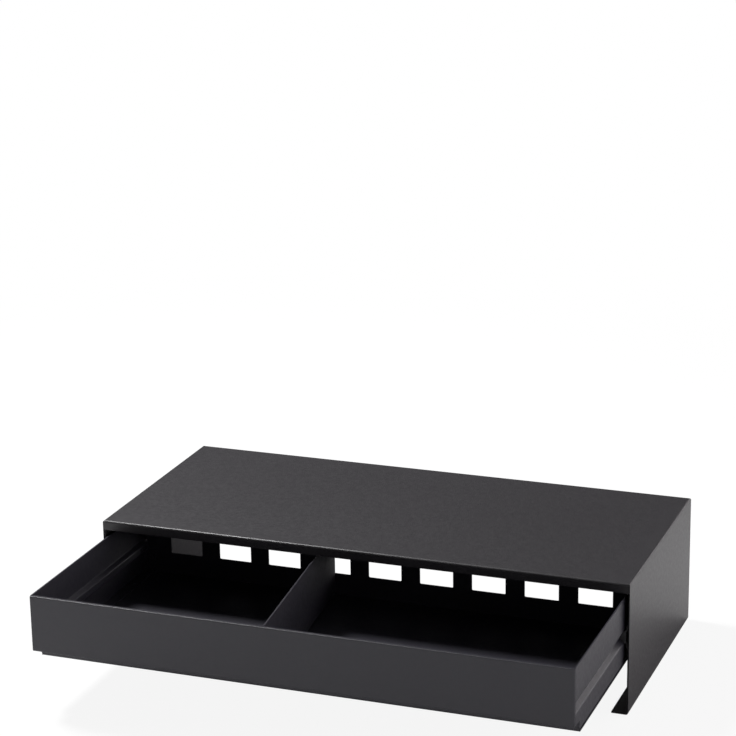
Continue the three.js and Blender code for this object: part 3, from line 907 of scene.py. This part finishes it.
class STAND_OT_drawer_sides(StandOperator, bpy.types.Operator):
    """Models the drawer's two side walls with their pressed guide grooves and flanges"""

    bl_idname = "stand.drawer_sides"
    bl_label = "Drawer sides"

    def execute(self, context):
        sizes = context.scene.stand_drawer
        for side, sign in SIDES:
            wall = self.wall(sizes, side, sign)
            combine(wall, self.end_flanges(sizes, sign), "UNION")
            holes = holes_in_side(sizes, side, SIDE_LOW.y, SIDE_LOW.y)
            holes.append(self.peg_hole(context.scene.stand_guide, sizes, side, sign))
            combine(wall, holes, "DIFFERENCE")
            round_edges(wall, sizes.edge_round)
            dress(wall, "drawer", "drawer_coat", drawer_finish(), f"drawer_side_{side}")
        return {"FINISHED"}

    def wall(self, sizes, side, sign):
        """The folded wall, with its lower front corner cut away at the tray's step."""
        low, _, high = groove_heights()
        flange_end = DRAWER_HALF - sizes.floor_flange
        groove_floor = DRAWER_HALF - sizes.groove_depth
        corners = [
            (flange_end, SIDE_LOW.z), (DRAWER_HALF, SIDE_LOW.z),
            (DRAWER_HALF, low), (groove_floor, low + sizes.groove_rise),
            (groove_floor, high - sizes.groove_rise), (DRAWER_HALF, high),
            (DRAWER_HALF, DRAWER_TOP),
        ]
        wall = folded(f"side_{side}", for_side(sign, corners), Y, SIDE_LOW.y, SIDE_HIGH.y,
                      sizes.sheet, sizes.inside_bend, steps=6)
        start = (flange_end - OVERRUN, SIDE_LOW.y - OVERRUN, DRAWER_BOTTOM - OVERRUN)
        step = DRAWER_FRONT + sizes.step_depth
        flange_front = step + sizes.sheet + sizes.inside_bend + sizes.seat_gap
        for end in ((DRAWER_HALF + OVERRUN, step, PANEL_LOW.z),
                    (DRAWER_HALF - sizes.sheet, flange_front, PANEL_LOW.z)):
            combine(wall, [side_block("corner_cut", sign, start, end)], "DIFFERENCE")
        return wall

    def end_flanges(self, sizes, sign):
        """The flanges below and above the groove, at both ends of the wall."""
        skip = sizes.sheet + sizes.end_margin
        groove_low, _, groove_high = groove_heights()
        flanges = []
        for low, high in ((PANEL_LOW.z + skip, groove_low - skip),
                          (groove_high + skip, DRAWER_TOP - sizes.end_margin)):
            for y in (SIDE_LOW.y, SIDE_HIGH.y - sizes.sheet):
                flanges.append(side_block(
                    "flange", sign, (DRAWER_HALF - sizes.end_flange, y, low),
                    (DRAWER_HALF - sizes.sheet / 2, y + sizes.sheet, high)))
        return flanges

    def peg_hole(self, guide, sizes, side, sign):
        low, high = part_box(f"rear_glide_{side}")
        groove_floor = DRAWER_HALF - sizes.groove_depth
        ends = sorted((sign * (groove_floor - OVERRUN), sign * (groove_floor + OVERRUN)))
        _, middle, _ = groove_heights()
        return rod("hole", X, guide.peg_radius + sizes.seat_gap, *ends,
                   (0, (low.y + high.y) / 2, middle), vertices=24)


# Fasteners

class STAND_OT_nuts(StandOperator, bpy.types.Operator):
    """Models the nuts on the front panel's studs, with the corners of each hexagon turned off"""

    bl_idname = "stand.nuts"
    bl_label = "Nuts"

    chamfer_share = 1.1

    def execute(self, context):
        sizes = context.scene.stand_drawer
        for side, _ in SIDES:
            for node in front_nuts(side):
                self.nut(sizes, node)
        return {"FINISHED"}

    def nut(self, sizes, node):
        """A hexagon with its points level, trimmed by a chamfered disc and bored."""
        low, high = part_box(node)
        centre = (low + high) / 2
        flat_radius = (high.z - low.z) / 2
        point_radius = (high.x - low.x) / 2
        nut = rod(node + "_hexagon", Y, point_radius, low.y, high.y, centre, vertices=6)
        turn = Matrix.Rotation(math.pi / 6, 4, "Y")
        nut.matrix_world = Matrix.Translation(centre) @ turn @ Matrix.Translation(-centre)
        apply_place(nut)
        disc_radius = point_radius + CLEAR
        front, back = low.y - TOUCH, high.y + TOUCH
        disc = rod("disc", Y, disc_radius, front, back, centre, vertices=70)
        bevel_where(disc, "faces", lambda points: level(points, Y, front) or level(points, Y, back),
                    (disc_radius - flat_radius) * self.chamfer_share)
        combine(nut, [disc], "INTERSECT")
        bore = rod("bore", Y, sizes.stud_radius + sizes.seat_gap, low.y - OVERRUN,
                   high.y + OVERRUN, centre)
        combine(nut, [bore], "DIFFERENCE")
        close_slivers(nut)
        smooth(nut, degrees=25)
        dress(nut, "drawer", "zinc_steel", zinc_finish(), node)


class STAND_OT_rivets(StandOperator, bpy.types.Operator):
    """Models one blind rivet and copies it to the back wall and the floor"""

    bl_idname = "stand.rivets"
    bl_label = "Rivets"

    head_share = 0.16
    head_round_share = 0.95
    tail_share = 0.26
    tail_round_share = 0.6
    tail_radius_share = 0.8
    shank_share = 1.6 / 3.0

    def execute(self, context):
        model = self.rivet()
        for side, _ in SIDES:
            for node in back_rivets(side):
                self.place(model, node, (math.pi / 2, 0, 0))
            for node in floor_rivets(side):
                self.place(model, node, (math.pi, 0, 0))
        bpy.data.objects.remove(model)
        return {"FINISHED"}

    def rivet(self):
        """A domed head, the shank drawn out of it and a swollen tail, centred along Z."""
        low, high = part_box("floor_rivet_1_left")
        radius = (high.x - low.x) / 2
        half = (high.z - low.z) / 2
        head = half * 2 * self.head_share
        tail = half * 2 * self.tail_share
        rivet = rod("rivet", Z, radius, -half, -half + head, (0, 0, 0))
        bevel_where(rivet, "faces", at(Z, -half), head * self.head_round_share, segments=6)
        open_edit(rivet)
        select_where(rivet, "faces", at(Z, -half + head))
        bpy.ops.mesh.inset(thickness=radius * (1 - self.shank_share), use_even_offset=True)
        extrude(0, 0, half * 2 - head - tail)
        extrude(0, 0, 0)
        wider = self.tail_radius_share / self.shank_share
        bpy.ops.transform.resize(value=(wider, wider, 1), center_override=(0, 0, 0))
        extrude(0, 0, tail)
        bevel(tail * self.tail_round_share, segments=4)
        bpy.ops.mesh.select_all(action="SELECT")
        bpy.ops.mesh.normals_make_consistent(inside=False)
        close_edit()
        smooth(rivet)
        return rivet

    def place(self, model, node, turn):
        """Puts a copy of the model where the frame has the rivet."""
        low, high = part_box(node)
        pick(model)
        bpy.ops.object.duplicate(linked=False)
        rivet = made(node + "_body")
        settle(rivet, (low + high) / 2, turn)
        dress(rivet, "drawer", "drawer_coat", drawer_finish(), node)


# Divider

class STAND_OT_divider(StandOperator, bpy.types.Operator):
    """Models the loose divider, with its notch over the tray's step, and its magnetic strip"""

    bl_idname = "stand.divider"
    bl_label = "Divider"

    strip_round_share = 0.25

    def execute(self, context):
        sizes = context.scene.stand_divider
        drawer = context.scene.stand_drawer
        slope = math.sin(sizes.angle)
        straight = math.cos(sizes.angle)
        low, high = DIVIDER_LOW, DIVIDER_HIGH
        half = (high.y - low.y - sizes.sheet * slope) / straight / 2
        place = Vector((high.x - sizes.sheet * straight - half * slope,
                        low.y + half * straight, low.z))
        corners = [(-sizes.foot, 0), (sizes.sheet, 0), (sizes.sheet, high.z - low.z)]
        divider = folded("divider_sheet", corners, Y, -half, half, sizes.sheet, drawer.inside_bend)
        step = DRAWER_FRONT + drawer.step_depth + drawer.sheet + sizes.end_gap
        notch_end = (step + sizes.foot * slope - place.y) / straight
        notch_top = PANEL_LOW.z + drawer.sheet + sizes.end_gap - place.z
        notch = block("notch", (-sizes.foot - OVERRUN, -half - OVERRUN, -OVERRUN),
                      (sizes.sheet + OVERRUN, notch_end, notch_top))
        combine(divider, [notch], "DIFFERENCE")
        round_edges(divider, drawer.edge_round)
        settle(divider, place, (0, 0, sizes.angle))
        dress(divider, "loose_divider", "drawer_coat", drawer_finish(), "divider")
        self.magnet(sizes, slope, straight)
        return {"FINISHED"}

    def magnet(self, sizes, slope, straight):
        """The strip under the divider's foot."""
        low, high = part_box("divider_magnet")
        half = Vector((sizes.magnet_width, (high.y - low.y - sizes.magnet_width * slope) / straight,
                       high.z - low.z)) / 2
        strip = block("magnet_strip", -half, half)
        round_edges(strip, half.z * self.strip_round_share)
        settle(strip, (low + high) / 2, (0, 0, sizes.angle))
        dress(strip, "loose_divider", "magnet_rubber", magnet_finish(), "divider_magnet")


# Stage

DIM_SIDE = (-1.0, -0.4, 1)  # the studio darkens this way, from BRIGHT_END to DIM_START
BRIGHT_END = -0.35
DIM_START = -0.05
WORLD_COLOUR = (1.0, 0.955, 0.975)
BEHIND_PLACE = (-0.1, 0.22, 0)  # middle of the shade behind the stand
BEHIND_REACH = (0.15, 0.36)  # where that shade begins and ends to fade
KEY_PLACE = (-1.0, 0.25, 1.6)
KEY_SIZE = 0.36
OVERHEAD_PLACE = (0.3, 0.6, 2.4)
OVERHEAD_SIZE = 1.6
SENSOR_WIDTH = 36  # in mm, as Blender counts it


class STAND_OT_stage(StandOperator, bpy.types.Operator):
    """Sets up the floor, the soft light and the camera"""

    bl_idname = "stand.stage"
    bl_label = "Floor, light and camera"

    def execute(self, context):
        sizes = context.scene.stand_stage
        self.floor(sizes)
        self.world(context.scene, sizes)
        self.lamp("Key softbox", KEY_PLACE, KEY_SIZE, sizes.key_power)
        self.lamp("Overhead softbox", OVERHEAD_PLACE, OVERHEAD_SIZE, sizes.overhead_power)
        self.camera(context.scene, sizes)
        context.scene.view_settings.view_transform = "Standard"
        return {"FINISHED"}

    def floor(self, sizes):
        bpy.ops.object.select_all(action="DESELECT")
        bpy.ops.mesh.primitive_plane_add(size=sizes.floor_size, location=(0, 0, 0))
        floor = made("floor")
        floor.data.materials.append(self.floor_finish(sizes))

    def floor_finish(self, sizes):
        """Pale and matt, lifted to white in the picture and in reflections, clear from below. In
        reflections its colour is darkened under and behind the stand, as painted shade.
        """
        material = bpy.data.materials.new("Pale floor")
        material.use_nodes = True
        tree = material.node_tree
        path = add_node(tree, "ShaderNodeLightPath", (-1100, -100)).outputs
        reflected = add_math(tree, "MAXIMUM", (-800, -100),
                             path["Is Glossy Ray"], path["Is Transmission Ray"])
        in_picture = self.rise(tree, 500, sizes.near, sizes.far, sizes.floor_lift)
        in_reflection = self.rise(tree, 200, sizes.shade_near, sizes.shade_far, 0.0)
        # Painted shade: shares that darken the floor's colour in reflections, under the stand and
        # behind it
        under = self.rise(tree, -100, sizes.under, sizes.near, sizes.shade)
        behind = self.rise(tree, -400, *BEHIND_REACH, sizes.shade_behind, BEHIND_PLACE)
        shade = add_math(tree, "MULTIPLY", (-550, -100), under, behind)
        plain = add_math(tree, "SUBTRACT", (-600, -300), 1.0, reflected)
        tone = add_math(tree, "MAXIMUM", (-450, -200), shade, plain)
        lift = add_math(
            tree, "MAXIMUM", (-100, 300),
            add_math(tree, "MULTIPLY", (-300, 400), path["Is Camera Ray"], in_picture),
            add_math(tree, "MULTIPLY", (-300, 100), reflected, in_reflection))

        shader = tree.nodes["Principled BSDF"]
        # The floor's colour times the tone: painted shade in reflections, its plain colour
        # elsewhere
        feed(shader, {"Base Color": add_tint(tree, (-300, -200), sizes.floor_colour, tone),
                      "Roughness": 1.0, "Specular IOR Level": 0.0})
        white = add_node(tree, "ShaderNodeEmission", (0, -300))
        lifted = add_node(tree, "ShaderNodeMixShader", (300, 0), {
            0: lift, 1: shader.outputs["BSDF"], 2: white.outputs["Emission"]})
        geometry = add_node(tree, "ShaderNodeNewGeometry", (300, 300))
        clear = add_node(tree, "ShaderNodeBsdfTransparent", (300, -300))
        sided = add_node(tree, "ShaderNodeMixShader", (500, 0), {
            0: geometry.outputs["Backfacing"], 1: lifted.outputs["Shader"],
            2: clear.outputs["BSDF"]})
        feed(tree.nodes["Material Output"], {"Surface": sided.outputs["Shader"]})
        return material

    def rise(self, tree, row, near, far, low, place=(0, 0, 0)):
        """A share that rises from low to 1 as the distance from a place goes from near to far."""
        position = add_node(tree, "ShaderNodeTexCoord", (-1100, row)).outputs["Object"]
        distance = add_node(tree, "ShaderNodeVectorMath", (-900, row), {0: position, 1: place},
                            operation="DISTANCE").outputs["Value"]
        return add_slope(tree, (-700, row), distance, near, far, low, 1.0)

    def world(self, scene, sizes):
        """A studio that is white low at the back right and dim above and in front."""
        world = bpy.data.worlds.new("Soft studio")
        scene.world = world
        world.use_nodes = True
        tree = world.node_tree
        direction = add_node(tree, "ShaderNodeTexCoord", (-900, 0)).outputs["Generated"]
        side = add_node(tree, "ShaderNodeVectorMath", (-700, 0), {0: direction, 1: DIM_SIDE},
                        operation="DOT_PRODUCT").outputs["Value"]
        feed(tree.nodes["Background"], {
            "Color": (*WORLD_COLOUR, 1),
            "Strength": add_slope(tree, (-500, 0), side, BRIGHT_END, DIM_START,
                                  sizes.bright, sizes.dim),
        })

    def lamp(self, name, place, size, watts):
        """A square softbox that faces the stand."""
        bpy.ops.object.light_add(type="AREA", location=place)
        lamp = made(name)
        lamp.data.shape = "SQUARE"
        lamp.data.size = size
        lamp.data.energy = watts
        lamp.rotation_euler = (-Vector(place)).to_track_quat("-Z", "Y").to_euler()

    def camera(self, scene, sizes):
        """The camera at the viewing angle, turned left, tipped down and rolled a little."""
        bpy.ops.object.camera_add(location=sizes.camera_place)
        camera = bpy.context.object
        turn = Matrix.Rotation(sizes.camera_turn, 4, "Z")
        tip = Matrix.Rotation(math.pi / 2 - sizes.camera_fall, 4, "X")
        roll = Matrix.Rotation(-sizes.camera_roll, 4, "Z")
        camera.matrix_world = Matrix.Translation(sizes.camera_place) @ turn @ tip @ roll
        camera.data.lens = sizes.lens
        camera.data.sensor_width = SENSOR_WIDTH
        scene.camera = camera


# Panel and registration

OPERATORS = (
    STAND_OT_stage, STAND_OT_casing, STAND_OT_foot_pads, STAND_OT_guide_rails, STAND_OT_glides,
    STAND_OT_drawer_panel, STAND_OT_drawer_tray, STAND_OT_drawer_sides, STAND_OT_nuts,
    STAND_OT_rivets, STAND_OT_divider,
)
SETTINGS = {
    "stand_casing": CasingSettings, "stand_drawer": DrawerSettings, "stand_slots": SlotSettings,
    "stand_guide": GuideSettings, "stand_divider": DividerSettings,
    "stand_finish": FinishSettings, "stand_stage": StageSettings,
}


class STAND_PT_panel(bpy.types.Panel):
    """Lists the pieces of the stand"""

    bl_label = "Monitor stand with drawer"
    bl_space_type = "VIEW_3D"
    bl_region_type = "UI"
    bl_category = "Stand"

    def draw(self, context):
        for operator in OPERATORS:
            self.layout.operator(operator.bl_idname)
        for name, group in SETTINGS.items():
            box = self.layout.box()
            for setting in group.__annotations__:
                box.prop(getattr(context.scene, name), setting)


def register():
    for group in SETTINGS.values():
        bpy.utils.register_class(group)
    for name, group in SETTINGS.items():
        setattr(bpy.types.Scene, name, bpy.props.PointerProperty(type=group))
    for item in (*OPERATORS, STAND_PT_panel):
        bpy.utils.register_class(item)


def unregister():
    for item in reversed((*OPERATORS, STAND_PT_panel)):
        bpy.utils.unregister_class(item)
    for name, group in SETTINGS.items():
        delattr(bpy.types.Scene, name)
        bpy.utils.unregister_class(group)


def main():
    register()
    bpy.ops.stand.stage()
    bpy.ops.stand.casing()
    bpy.ops.stand.foot_pads()
    bpy.ops.stand.guide_rails()
    bpy.ops.stand.glides()
    bpy.ops.stand.drawer_panel()
    bpy.ops.stand.drawer_tray()
    bpy.ops.stand.drawer_sides()
    bpy.ops.stand.nuts()
    bpy.ops.stand.rivets()
    bpy.ops.stand.divider()


if __name__ == "__main__":
    main()
